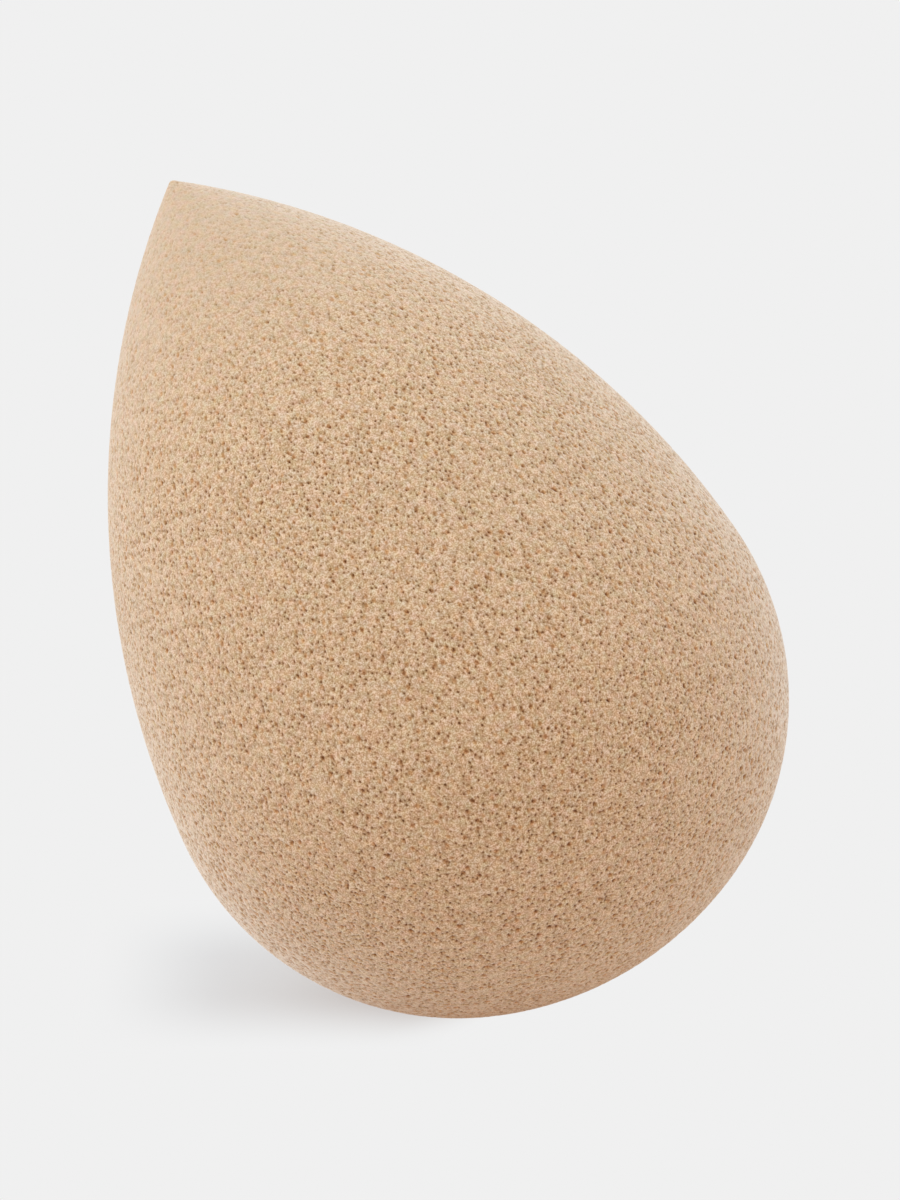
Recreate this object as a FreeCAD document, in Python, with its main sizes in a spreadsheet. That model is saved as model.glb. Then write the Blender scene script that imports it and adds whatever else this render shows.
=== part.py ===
import FreeCAD, Part
import math
import os
import Sketcher

# A makeup sponge: one teardrop of open-celled foam, round about its long axis.
# It rests at a lean on its round end, and the foam settles to a small flat there.
# Frame: +Z up, origin in the middle of that flat, tip leaning towards -X. Millimetres and degrees.

SIZES = {
    "sponge_length": 60.0,  # from the round end to the tip, along the axis
    "sponge_diameter": 41.9,  # at the widest place
    "end_radius": 22.7,  # curve of the cap that closes the round end
    "end_cap_diameter": 17.6,  # where that cap runs into the tighter shoulder
    "side_radius": 54.6,  # long curve from the shoulder to the tip
    "tip_radius": 0.35,  # foam can't be cut to a true point
    "lean_angle": 33.0,  # the axis, from upright
    "settle_depth": 0.5,  # how far the foam flattens where it rests
}

START, END, CENTRE = 1, 2, 3  # the points of a sketched line or arc
ORIGIN, VERTICAL = -1, -2  # a sketch's own origin and upright axis
UP = FreeCAD.Vector(0, 0, 1)


def add_sheet(doc):
    sheet = doc.addObject("Spreadsheet::Sheet", "Sizes")
    for row, (name, value) in enumerate(SIZES.items(), start=1):
        sheet.set(f"A{row}", name)
        sheet.set(f"B{row}", str(value))
        sheet.setAlias(f"B{row}", name)
    doc.recompute()
    return sheet


def add_sketch(body, role, name):
    """An empty sketch on one of the body's own origin planes."""
    plane = next(p for p in body.Origin.OriginFeatures if p.Role == role)
    sketch = body.newObject("Sketcher::SketchObject", name)
    sketch.AttachmentSupport = (plane, "")
    sketch.MapMode = "FlatFace"
    return sketch


def size_constraint(sketch, parts, start_value, formula):
    """A measured constraint whose value follows a formula of the sheet's sizes."""
    index = sketch.addConstraint(Sketcher.Constraint(*parts, start_value))
    sketch.setExpression(f"Constraints[{index}]", formula)


def arc_between(centre, start, end):
    """The arc about a centre, anticlockwise from one point to another."""
    first = start - centre
    last = end - centre
    circle = Part.Circle(centre, UP, first.Length)
    return Part.ArcOfCircle(circle, math.atan2(first.y, first.x), math.atan2(last.y, last.x))


def profile_places(sheet):
    """Centres and joints of the half outline's arcs, in the sketch's plane with the sponge at its lean."""
    half_diameter = sheet.sponge_diameter / 2
    half_cap = sheet.end_cap_diameter / 2
    cap_turn = math.asin(half_cap / sheet.end_radius)
    shoulder_radius = (half_diameter - half_cap) / (1 - math.sin(cap_turn))

    # Along the axis from the round end, and out from it, before the lean.
    cap = FreeCAD.Vector(sheet.end_radius, 0)
    shoulder_along = sheet.end_radius - (sheet.end_radius - shoulder_radius) * math.cos(cap_turn)
    shoulder = FreeCAD.Vector(shoulder_along, half_diameter - shoulder_radius)
    tip = FreeCAD.Vector(sheet.sponge_length - sheet.tip_radius, 0)

    # The side arc touches the shoulder and the tip ball from outside both, so its centre is known
    # by its distances from theirs.
    to_tip = tip - shoulder
    from_shoulder = sheet.side_radius - shoulder_radius
    from_tip = sheet.side_radius - sheet.tip_radius
    cosine = (to_tip.Length**2 + from_shoulder**2 - from_tip**2) / (2 * to_tip.Length * from_shoulder)
    turn = math.atan2(to_tip.y, to_tip.x) - math.acos(cosine)
    side = shoulder + FreeCAD.Vector(math.cos(turn), math.sin(turn)) * from_shoulder

    def beyond(centre, middle, radius):
        """The point of a circle that lies straight away from another circle's centre."""
        away = middle - centre
        return middle + away * (radius / away.Length)

    places = {
        "cap": cap,
        "shoulder": shoulder,
        "side": side,
        "tip": tip,
        "pole": FreeCAD.Vector(0, 0),
        "cap_joint": FreeCAD.Vector(cap.x - sheet.end_radius * math.cos(cap_turn), half_cap),
        "side_joint": beyond(side, shoulder, shoulder_radius),
        "tip_joint": beyond(side, tip, sheet.tip_radius),
        "point": FreeCAD.Vector(sheet.sponge_length, 0),
        "widest": FreeCAD.Vector(shoulder_along, half_diameter),
    }

    # The lean, which leaves the shoulder's centre straight above the origin.
    lean = FreeCAD.Rotation(UP, 90 + sheet.lean_angle)
    height = FreeCAD.Vector(0, shoulder_radius - sheet.settle_depth)
    lift = height - lean.multVec(shoulder)
    leaning = {name: lean.multVec(place) + lift for name, place in places.items()}
    leaning["lowest"] = FreeCAD.Vector(0, -sheet.settle_depth)
    return leaning


def add_profile(body, sheet):
    """Half of the teardrop's outline, from the tip round the low side to the round end."""
    sketch = add_sketch(body, "XZ_Plane", "Profile")
    place = profile_places(sheet)
    tip, side, shoulder, cap, core = sketch.addGeometry(
        [
            arc_between(place["tip"], place["point"], place["tip_joint"]),
            arc_between(place["side"], place["tip_joint"], place["side_joint"]),
            arc_between(place["shoulder"], place["side_joint"], place["cap_joint"]),
            arc_between(place["cap"], place["cap_joint"], place["pole"]),
            Part.LineSegment(place["pole"], place["point"]),
        ],
        False,
    )
    axis, girth, plumb = sketch.addGeometry(
        [
            Part.LineSegment(place["pole"], place["point"]),
            Part.LineSegment(place["shoulder"], place["widest"]),
            Part.LineSegment(place["shoulder"], place["lowest"]),
        ],
        True,
    )
    for kind, *parts in (
        ("Tangent", tip, END, side, START),
        ("Tangent", side, END, shoulder, START),
        ("Tangent", shoulder, END, cap, START),
        ("Coincident", cap, END, core, START),
        ("Coincident", tip, START, core, END),
        ("Coincident", axis, START, core, START),
        ("Coincident", axis, END, core, END),
        ("PointOnObject", tip, CENTRE, axis),
        ("PointOnObject", cap, CENTRE, axis),
        ("Coincident", girth, START, shoulder, CENTRE),
        ("PointOnObject", girth, END, shoulder),
        ("Perpendicular", girth, axis),
        ("PointOnObject", shoulder, CENTRE, VERTICAL),
        ("Coincident", plumb, START, shoulder, CENTRE),
        ("PointOnObject", plumb, END, shoulder),
        ("Vertical", plumb),
    ):
        sketch.addConstraint(Sketcher.Constraint(kind, *parts))

    size_constraint(sketch, ("Radius", tip), sheet.tip_radius, "Sizes.tip_radius")
    size_constraint(sketch, ("Radius", side), sheet.side_radius, "Sizes.side_radius")
    size_constraint(sketch, ("Radius", cap), sheet.end_radius, "Sizes.end_radius")
    size_constraint(sketch, ("Distance", core), sheet.sponge_length, "Sizes.sponge_length")
    half_diameter = sheet.sponge_diameter / 2
    size_constraint(sketch, ("Distance", girth, END, axis), half_diameter, "Sizes.sponge_diameter / 2")
    half_cap = sheet.end_cap_diameter / 2
    size_constraint(sketch, ("Distance", cap, START, axis), half_cap, "Sizes.end_cap_diameter / 2")
    slope = math.radians(90 + sheet.lean_angle)
    size_constraint(sketch, ("Angle", axis), slope, "90 deg + Sizes.lean_angle * 1 deg")
    lowest_to_origin = ("DistanceY", plumb, END, ORIGIN, START)
    size_constraint(sketch, lowest_to_origin, sheet.settle_depth, "Sizes.settle_depth")
    return sketch


def add_flat_outline(body, sheet):
    """A circle on the table plane, as wide as the sponge."""
    sketch = add_sketch(body, "XY_Plane", "FlatOutline")
    circle = sketch.addGeometry(Part.Circle(FreeCAD.Vector(), UP, sheet.sponge_diameter / 2), False)
    sketch.addConstraint(Sketcher.Constraint("Coincident", circle, CENTRE, ORIGIN, START))
    size_constraint(sketch, ("Diameter", circle), sheet.sponge_diameter, "Sizes.sponge_diameter")
    return sketch


def add_foam_body(doc, sheet):
    body = doc.addObject("PartDesign::Body", "FoamBody")
    body.Label = "foam_body"

    teardrop = body.newObject("PartDesign::Revolution", "Teardrop")
    profile = add_profile(body, sheet)
    teardrop.Profile = profile
    teardrop.ReferenceAxis = (profile, ["Axis0"])
    teardrop.Angle = 360

    flat = body.newObject("PartDesign::Pocket", "RestingFlat")
    flat.Profile = add_flat_outline(body, sheet)
    flat.setExpression("Length", "2 * Sizes.settle_depth")  # clear of the foam's lowest point
    body.Tip = flat
    doc.recompute()

    if flat.Shape.Volume >= teardrop.Shape.Volume:
        raise ValueError("the resting flat cuts nothing")
    return body


def check(doc, bodies):
    for item in doc.Objects:
        if "Invalid" in item.State or "Error" in item.State:
            raise ValueError(f"{item.Label} failed: {item.State}")
        if item.TypeId == "Sketcher::SketchObject" and not item.FullyConstrained:
            raise ValueError(f"{item.Label} isn't fully constrained")
    for body in bodies:
        if body.Shape.isNull() or not body.Shape.isValid():
            raise ValueError(f"{body.Label} has no valid shape")


def main():
    doc = FreeCAD.newDocument("makeup_sponge")
    sheet = add_sheet(doc)
    bodies = [add_foam_body(doc, sheet)]
    doc.recompute()
    check(doc, bodies)
    os.makedirs("parts", exist_ok=True)
    for body in bodies:
        body.Shape.exportStep(f"parts/{body.Label}.step")
        print(f"{body.Label}: {body.Shape.Volume / 1000:.2f} cm3")


main()
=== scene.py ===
import math

import bmesh
import bpy
import numpy as np
from mathutils import Euler, Matrix, Vector


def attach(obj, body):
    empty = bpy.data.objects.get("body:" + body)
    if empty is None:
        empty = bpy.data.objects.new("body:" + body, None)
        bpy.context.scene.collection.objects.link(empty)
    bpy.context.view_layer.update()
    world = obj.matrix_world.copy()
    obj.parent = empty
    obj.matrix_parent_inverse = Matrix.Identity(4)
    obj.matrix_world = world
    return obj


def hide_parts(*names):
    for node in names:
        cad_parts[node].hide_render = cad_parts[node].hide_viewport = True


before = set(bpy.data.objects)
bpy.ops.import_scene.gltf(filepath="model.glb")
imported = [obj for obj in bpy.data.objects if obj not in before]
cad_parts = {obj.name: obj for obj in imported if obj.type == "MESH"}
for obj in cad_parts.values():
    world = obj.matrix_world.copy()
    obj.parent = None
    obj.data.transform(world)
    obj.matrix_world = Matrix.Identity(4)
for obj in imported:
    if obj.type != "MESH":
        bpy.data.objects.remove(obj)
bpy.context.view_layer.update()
print("frame loaded")

white = (1, 1, 1, 1)


class Wire:
    # one socket of a node tree, so that sums of sockets read as plain maths

    def __init__(self, board, socket):
        self.board = board
        self.socket = socket

    def beside(self, output):  # another output of the same node
        return Wire(self.board, self.socket.node.outputs[output])

    def maths(self, operation, first, second):
        return self.board.put("ShaderNodeMath", {"operation": operation}, {0: first, 1: second})

    def __add__(self, other):
        return self.maths("ADD", self, other)

    def __radd__(self, other):
        return self.maths("ADD", other, self)

    def __sub__(self, other):
        return self.maths("SUBTRACT", self, other)

    def __rsub__(self, other):
        return self.maths("SUBTRACT", other, self)

    def __mul__(self, other):
        return self.maths("MULTIPLY", self, other)

    def __rmul__(self, other):
        return self.maths("MULTIPLY", other, self)


class Board:
    # a node tree to build on, for a material or the world

    def __init__(self, tree):
        self.tree = tree

    def put(self, kind, settings, sockets, output=0):
        node = self.tree.nodes.new(kind)
        for name, value in settings.items():
            if name == "stops":
                self.setStops(node.color_ramp.elements, value)
            else:
                setattr(node, name, value)
        for name, value in sockets.items():
            if isinstance(value, Wire):
                self.tree.links.new(value.socket, node.inputs[name])
            else:
                node.inputs[name].default_value = value
        return Wire(self, node.outputs[output]) if node.outputs else None

    def setStops(self, stops, wanted):
        while len(stops) < len(wanted):
            stops.new(1)
        for stop, (position, colour) in zip(stops, wanted):
            stop.position = position
            stop.color = colour

    def soften(self, value, low, high):  # 0 below low, 1 above high, smooth between
        settings = {"interpolation_type": "SMOOTHSTEP"}
        sockets = {"Value": value, "From Min": low, "From Max": high}
        return self.put("ShaderNodeMapRange", settings, sockets)

    def blend(self, share, first, second):  # from one colour to another
        sockets = {"Factor": share, 6: first, 7: second}  # 6 and 7, and output 2, hold colours
        return self.put("ShaderNodeMix", {"data_type": "RGBA"}, sockets, 2)


def newMaterial(name):
    material = bpy.data.materials.new(name)
    material.use_nodes = True
    material.node_tree.nodes.clear()
    return material, Board(material.node_tree)


def newPiece(name, mesh):
    piece = bpy.data.objects.new(name, mesh)
    bpy.context.scene.collection.objects.link(piece)
    return piece


foam = {
    "length": 0.060,  # round end to tip
    "diameter": 0.0419,
    "endRadius": 0.0227,
    "endCapDiameter": 0.0176,
    "sideRadius": 0.0546,
    "tipRadius": 0.00035,
    "lean": 33,  # degrees from upright, tip towards -X
    "settle": 0.0005,  # depth of the flat where it rests
    "outlineSteps": 3000,  # for each arc
    "thinnest": 1e-9,  # keeps the two ends of the ball from dividing by nothing
    "fineness": 9,  # times the ball is divided
    "quickFineness": 7,
    "fill": 1.0,  # of the solid that it stands for
    "mapFill": 0.985,  # how much of the square the bake map takes
    "seed": 11,
    "scatter": 0.12,  # how far points stray from an even net, in its spacings
    # pores: edges between two middles, shares of depth that spread to neighbours, how rare open ones
    # are, how deep they sink and how dark their painted shade is
    "pores": {
        "speck": {"apart": 1, "shares": (0.2,), "rarity": 1.3, "depth": 0.00008, "toneAndPaintedShade": 0.50},
        "bubble": {"apart": 2, "shares": (0.32,), "rarity": 0.6, "depth": 0.00015, "toneAndPaintedShade": 1.15},
        "hollow": {"apart": 4, "shares": (0.8, 0.14), "rarity": 1.3, "depth": 0.00008, "toneAndPaintedShade": 0.22},
    },
    "web": 0.00020,  # the uneven walls between the pores
    "webDetail": 1.0,
    "webSpread": (0.28, 0.72),
    "grain": 0.00010,
    "grainSpread": (0.3, 0.7),
    "grainDepth": 0.000008,
    "grainStrength": 0.5,
    "hue": 0.00045,  # patches of a rosier, greener, yellower or greyer tan
    "hueRange": (0.20, 0.0, 0.27),  # how far red, green and blue stray there
    "wallTint": (0.995, 1.0, 0.99, 1),
    "hollowShadeTint": (1.07, 0.96, 0.80, 1),  # painted shade: wide hollows are tinted more orange
    "hollowSpread": (0.12, 0.9),
    # how much darker each makes the foam, from 0, the palest wall, to 1, the deepest pore
    "webTone": 0.165,
    "grainTone": 0.20,
    "roundEndPaintedShade": 0.2,  # painted shade: all the tones grow by this share at the round end
    # painted light and shade along the length: the upper part paler, the round end darker and browner
    "upperLightTint": (1.015, 1.025, 1.03, 1),
    "roundEndShadeTint": (1.01, 0.975, 0.955, 1),
    "tipShade": (0.80, 0.77, 0.745, 1),  # the tip is duller than the walls
    "roundEnd": (0.08, 0.62),  # shares of the length where the round end's painted shade fades
    "calmTip": (0.68, 0.98),  # and where the pores grow faint towards the tip
    "calmest": 0.35,  # share of their depth that is left there
    "palest": (0.813, 0.638, 0.473),
    "deepest": (0.21, 0.086, 0.028),
    "toneStops": 7,
    "wallGloss": 0.08,  # the walls are this much less rough
    "specular": 0.2,
    "sheen": ((0.0, 0.55), (0.07, 0.85), (0.17, 1.25), (1.0, 0.64)),  # its strength along the sponge
    "sheenRoughness": 0.5,
    "sheenTint": (1, 0.96, 0.90, 1),
}


def outline():
    # the teardrop's half outline, round end to tip: along the axis and out from it
    halfDiameter = foam["diameter"] / 2
    halfCap = foam["endCapDiameter"] / 2
    capTurn = math.asin(halfCap / foam["endRadius"])
    shoulderRadius = (halfDiameter - halfCap) / (1 - math.sin(capTurn))
    shoulderAlong = foam["endRadius"] - (foam["endRadius"] - shoulderRadius) * math.cos(capTurn)
    cap = Vector((foam["endRadius"], 0))
    shoulder = Vector((shoulderAlong, halfDiameter - shoulderRadius))
    tip = Vector((foam["length"] - foam["tipRadius"], 0))

    toTip = tip - shoulder
    fromShoulder = foam["sideRadius"] - shoulderRadius
    fromTip = foam["sideRadius"] - foam["tipRadius"]
    cosine = (toTip.length**2 + fromShoulder**2 - fromTip**2) / (2 * toTip.length * fromShoulder)
    turn = math.atan2(toTip.y, toTip.x) - math.acos(cosine)
    side = shoulder + fromShoulder * Vector((math.cos(turn), math.sin(turn)))

    sideTurn = math.atan2(shoulder.y - side.y, shoulder.x - side.x)
    tipTurn = math.atan2(tip.y - side.y, tip.x - side.x)
    arcs = (
        (cap, foam["endRadius"], math.pi, math.pi - capTurn),
        (shoulder, shoulderRadius, math.pi - capTurn, sideTurn),
        (side, foam["sideRadius"], sideTurn, tipTurn),
        (tip, foam["tipRadius"], tipTurn, 0),
    )
    turns = [np.linspace(first, last, foam["outlineSteps"]) for _, _, first, last in arcs]
    along = np.concatenate([arc[0].x + arc[1] * np.cos(turn) for arc, turn in zip(arcs, turns)])
    out = np.concatenate([arc[0].y + arc[1] * np.sin(turn) for arc, turn in zip(arcs, turns)])

    # leaned over, the shoulder's middle stands straight above the flat
    leaning = Euler((0, -math.radians(foam["lean"]), 0)).to_matrix()
    lowSide = leaning @ Vector((-shoulder.y, 0, shoulder.x))
    lift = Vector((0, 0, shoulderRadius - foam["settle"])) - lowSide
    return along, out, Matrix.Translation(lift) @ leaning.to_4x4()


def addBakeMap(mesh, x, y, z):
    # the ball folded out to a square with equal areas, cut only from the round end to the middle
    corners = np.empty(len(mesh.loops), dtype=int)
    mesh.loops.foreach_get("vertex_index", corners)
    x, y, z = x[corners], y[corners], z[corners]
    quarterTurn = math.pi / 2
    faceX, faceY = [part.reshape(-1, 3).mean(1).repeat(3) for part in (x, y)]
    ownQuarter = np.floor(np.arctan2(y, x) / quarterTurn)
    faceQuarter = np.floor(np.arctan2(faceY, faceX) / quarterTurn)
    start = np.where(z < 0, faceQuarter, ownQuarter) * quarterTurn

    turn = (np.arctan2(y, x) - start + math.pi) % (2 * math.pi) - math.pi
    turn = turn / quarterTurn
    reach = np.sqrt(1 - np.minimum(np.abs(z), 1))
    across = np.where(z < 0, 1 - reach * turn, reach * (1 - turn))
    up = np.where(z < 0, 1 - reach * (1 - turn), reach * turn)
    cosine = np.cos(start)
    sine = np.sin(start)
    flat = np.stack((across * cosine - up * sine, across * sine + up * cosine), 1)
    layer = mesh.uv_layers.new(name="OFBake")
    layer.uv.foreach_set("vector", (0.5 + flat * foam["mapFill"] / 2).ravel())


def note(mesh, name, values):
    # keeps a number or a place for each point, where the material can read it
    single = values.ndim == 1
    layer = mesh.attributes.new(name, "FLOAT" if single else "FLOAT_VECTOR", "POINT")
    layer.data.foreach_set("value" if single else "vector", values.ravel())


def smoothTeardrop(dice):
    fineness = foam["fineness"]
    shape = bmesh.new()
    bmesh.ops.create_icosphere(shape, subdivisions=fineness, radius=1)
    mesh = bpy.data.meshes.new("foamBody")
    shape.to_mesh(mesh)
    shape.free()
    points = np.empty(len(mesh.vertices) * 3)
    mesh.vertices.foreach_get("co", points)
    points = points.reshape(-1, 3)
    addBakeMap(mesh, *points.T)

    spacing = math.sqrt(4 * math.pi / len(points))
    points = points + dice.normal(0, foam["scatter"] * spacing, points.shape)
    x, y, z = points.T / np.linalg.norm(points, axis=1)

    # each point keeps its share of the surface, so the mesh is as fine all over
    along, out, place = outline()
    bands = np.hypot(np.diff(along), np.diff(out)) * (out[1:] + out[:-1])
    share = np.concatenate(([0], np.cumsum(bands))) / bands.sum()
    rank = (z + 1) / 2
    height = np.interp(rank, share, along)
    radius = np.interp(rank, share, out) / np.maximum(np.hypot(x, y), foam["thinnest"])
    spun = np.stack((x * radius, y * radius, height), 1)
    spun = spun @ np.array(place.to_3x3()).T + np.array(place.translation)
    spun[:, 2] = np.maximum(spun[:, 2], 0)
    mesh.vertices.foreach_set("co", spun.ravel())
    mesh.shade_smooth()
    note(mesh, "smoothPlace", spun)
    note(mesh, "along", height / foam["length"])
    return mesh, spun, height / foam["length"]


def pores(kind, ends, dice, count):
    # middles are points that drew the highest number for some edges around
    drawn = dice.random(count)
    best = drawn
    for _ in range(kind["apart"]):
        near = best.copy()
        for one, other in (ends, ends[::-1]):
            np.maximum.at(near, one, best[other])
        best = near
    depth = np.where(drawn == best, dice.random(count) ** kind["rarity"], 0)
    for share in kind["shares"]:
        around = sum(np.bincount(one, depth[other], count) for one, other in (ends, ends[::-1]))
        depth = depth + share * around
    return depth


def sinkPores(mesh, places, along, dice):
    ends = np.empty(len(mesh.edges) * 2, dtype=int)
    mesh.edges.foreach_get("vertices", ends)
    ends = ends.reshape(-1, 2).T
    normals = np.empty(len(places) * 3)
    mesh.vertex_normals.foreach_get("vector", normals)
    toTip = np.clip((along - foam["calmTip"][0]) / (foam["calmTip"][1] - foam["calmTip"][0]), 0, 1)
    openness = 1 - toTip * (1 - foam["calmest"])
    depth = 0
    for name, kind in foam["pores"].items():
        sunk = pores(kind, ends, dice, len(places)) * openness
        note(mesh, name, sunk)
        depth = depth + sunk * kind["depth"]
    sunkPlaces = places - normals.reshape(-1, 3) * depth[:, None]
    mesh.vertices.foreach_set("co", sunkPlaces.ravel())
    mesh.update()


def noise(board, place, size, detail=0.0):
    sockets = {"Vector": place, "Scale": 1 / size, "Detail": detail}
    return board.put("ShaderNodeTexNoise", {}, sockets, "Fac")


def foamMaterial():
    material, board = newMaterial("foam")

    def noted(name, output="Fac"):
        return board.put("ShaderNodeAttribute", {"attribute_name": name}, {}, output)

    place = noted("smoothPlace", "Vector")
    web = board.soften(noise(board, place, foam["web"], foam["webDetail"]), *foam["webSpread"])
    grain = board.soften(noise(board, place, foam["grain"]), *foam["grainSpread"])
    along = noted("along")
    endShadeShare = 1 - board.soften(along, *foam["roundEnd"])
    nearTip = board.soften(along, *foam["calmTip"])
    calm = 1 - nearTip * (1 - foam["calmest"])
    toneAndPaintedShade = (web * foam["webTone"] + grain * foam["grainTone"]) * calm
    # painted shade in each pore, darker the deeper it is sunk
    for name, kind in foam["pores"].items():
        sunk = noted(name)
        toneAndPaintedShade = toneAndPaintedShade + sunk * sunk * kind["toneAndPaintedShade"]
    # painted shade: darker towards the round end
    toneAndPaintedShade = toneAndPaintedShade * (1 + endShadeShare * foam["roundEndPaintedShade"])

    # painted shade: each step down a pore takes the same share of light, so deep places are painted
    # browner
    steps = [step / (foam["toneStops"] - 1) for step in range(foam["toneStops"])]
    pairs = list(zip(foam["palest"], foam["deepest"]))
    stops = [(step, [pale ** (1 - step) * deep**step for pale, deep in pairs] + [1]) for step in steps]
    colour = board.put("ShaderNodeValToRGB", {"stops": stops}, {"Fac": toneAndPaintedShade})
    patches = noise(board, place, foam["hue"]).beside("Color")
    strays = foam["hueRange"]
    plain = [1 - stray / 2 for stray in strays]
    sockets = {0: patches, 1: strays, 2: plain}
    hollows = board.soften(noted("hollow"), *foam["hollowSpread"])
    tints = (
        board.put("ShaderNodeVectorMath", {"operation": "MULTIPLY_ADD"}, sockets),
        board.blend(hollows, foam["wallTint"], foam["hollowShadeTint"]),
        # painted light and shade: paler upper part, browner round end
        board.blend(endShadeShare, foam["upperLightTint"], foam["roundEndShadeTint"]),
        board.blend(nearTip, white, foam["tipShade"]),
    )
    for tint in tints:
        colour = board.put("ShaderNodeVectorMath", {"operation": "MULTIPLY"}, {0: colour, 1: tint})

    bump = board.put(
        "ShaderNodeBump",
        {},
        {
            "Strength": foam["grainStrength"],
            "Distance": 1.0,
            "Height": (web + grain) * -foam["grainDepth"],
        },
    )
    strengths = [(share, [strength] * 3 + [1]) for share, strength in foam["sheen"]]
    sheen = board.put("ShaderNodeValToRGB", {"stops": strengths}, {"Fac": along})
    shader = board.put(
        "ShaderNodeBsdfPrincipled",
        {},
        {
            "Base Color": colour,
            "Roughness": 1 - web * foam["wallGloss"],
            "Specular IOR Level": foam["specular"],
            "Sheen Weight": sheen,
            "Sheen Roughness": foam["sheenRoughness"],
            "Sheen Tint": foam["sheenTint"],
            "Normal": bump,
        },
    )
    board.put("ShaderNodeOutputMaterial", {}, {"Surface": shader})
    return material


def makeFoam():
    dice = np.random.default_rng(foam["seed"])
    mesh, places, along = smoothTeardrop(dice)
    sinkPores(mesh, places, along, dice)
    mesh.materials.append(foamMaterial())
    piece = newPiece("foamBody", mesh)
    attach(piece, "root")
    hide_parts("foam_body")
    print("foam body made,", len(mesh.polygons), "faces")


camera = {
    "azimuth": 24.3,
    "elevation": 15.0,
    "distance": 0.6,
    "aim": (-0.001174, 0.001060, 0.026809),
    "frameHeight": 0.07892,  # what the picture spans at the sponge
    "sensor": 36.0,
    "farthest": 100,
}


def makeCamera():
    lens = bpy.data.cameras.new("camera")
    lens.sensor_width = camera["sensor"]
    lens.lens = camera["sensor"] * camera["distance"] / camera["frameHeight"]
    lens.clip_end = camera["farthest"]
    eye = bpy.data.objects.new("camera", lens)
    bpy.context.scene.collection.objects.link(eye)
    turned = Euler((math.radians(90 - camera["elevation"]), 0, math.radians(camera["azimuth"])))
    back = turned.to_matrix() @ Vector((0, 0, camera["distance"]))
    eye.location = Vector(camera["aim"]) + back
    eye.rotation_euler = turned
    bpy.context.scene.camera = eye
    print("camera set")


studio = {
    "backdrop": 0.871,  # the photographed pale grey
    "floorColour": (0.62, 0.665, 0.715, 1),
    "floorRadius": 6.0,
    "floorSides": 96,
    "bounce": 0.76,  # light that the floor sends up under the sponge
    "bounceColour": (1, 0.86, 0.74, 1),
    "footColour": (0.62, 0.34, 0.15, 1),  # under the sponge the floor is in its own shade
    "footShade": (0.005, 0.021),  # metres from the foot
    "shadowShare": 0.47,  # how much of the sponge's real shadow the floor shows at its deepest
    # where the shadow fades, in metres right of and away from the foot as the camera stands
    "shadowLeft": (-0.025, -0.015),
    "shadowFront": (-0.0122, 0.0012),
    "shadowBack": (0.008, 0.022),
    "shadowRight": (-0.005, 0.001),
    "shadowSlant": 0.55,  # its right side leans away
    "sky": 1.045,
    "keyStrength": 0.75,
    "keyAngle": 70,
    "keyFrom": (-105, 28),  # azimuth to the camera's right, height, in degrees
}


def seenRay(board):  # 1 where a ray comes from the camera, a shiny face or through glass
    ray = board.put("ShaderNodeLightPath", {}, {}, "Is Camera Ray")
    return ray + ray.beside("Is Glossy Ray") + ray.beside("Is Transmission Ray")


def makeFloor():
    shape = bmesh.new()
    sides = studio["floorSides"]
    bmesh.ops.create_circle(shape, cap_ends=True, segments=sides, radius=studio["floorRadius"])
    mesh = bpy.data.meshes.new("floor")
    shape.to_mesh(mesh)
    shape.free()
    floor = newPiece("floor", mesh)
    material, board = newMaterial("floor")
    lit = board.put("ShaderNodeBsdfDiffuse", {}, {"Color": studio["floorColour"]})
    plain = board.put("ShaderNodeEmission", {}, {"Strength": studio["backdrop"]})
    place = board.put("ShaderNodeTexCoord", {}, {}, "Object")
    turned = board.put(
        "ShaderNodeVectorRotate",
        {"rotation_type": "Z_AXIS"},
        {"Vector": place, "Angle": -math.radians(camera["azimuth"])},
    )
    right = board.put("ShaderNodeSeparateXYZ", {}, {0: turned}, "X")
    away = right.beside("Y")
    shadow = board.soften(right, *studio["shadowLeft"]) * board.soften(away, *studio["shadowFront"])
    shadow = shadow * (1 - board.soften(away, *studio["shadowBack"]))
    shadow = shadow * board.soften(away * studio["shadowSlant"] - right, *studio["shadowRight"])
    bare = 1 - shadow * studio["shadowShare"]
    seen = board.put("ShaderNodeMixShader", {}, {0: bare, 1: lit, 2: plain})
    reach = board.put("ShaderNodeVectorMath", {"operation": "LENGTH"}, {0: place}, "Value")
    clear = board.soften(reach, *studio["footShade"])
    glow = board.blend(clear, studio["footColour"], studio["bounceColour"])
    bounce = board.put("ShaderNodeEmission", {}, {"Color": glow, "Strength": studio["bounce"]})
    shader = board.put("ShaderNodeMixShader", {}, {0: seenRay(board), 1: bounce, 2: seen})
    board.put("ShaderNodeOutputMaterial", {}, {"Surface": shader})
    mesh.materials.append(material)
    print("floor laid")


def makeLight():
    world = bpy.data.worlds.new("studio")
    bpy.context.scene.world = world
    world.use_nodes = True
    world.node_tree.nodes.clear()
    board = Board(world.node_tree)
    strength = seenRay(board) * (studio["backdrop"] - studio["sky"]) + studio["sky"]
    sky = board.put("ShaderNodeBackground", {}, {"Color": white, "Strength": strength})
    board.put("ShaderNodeOutputWorld", {}, {"Surface": sky})

    key = bpy.data.lights.new("key", "SUN")
    key.energy = studio["keyStrength"]
    key.angle = math.radians(studio["keyAngle"])
    lamp = bpy.data.objects.new("key", key)
    bpy.context.scene.collection.objects.link(lamp)
    side, height = studio["keyFrom"]
    lamp.rotation_euler = Euler((math.radians(90 - height), 0, math.radians(camera["azimuth"] + side)))
    print("light set")


bpy.context.scene.view_settings.view_transform = "Standard"
makeCamera()
makeFloor()
makeLight()
makeFoam()
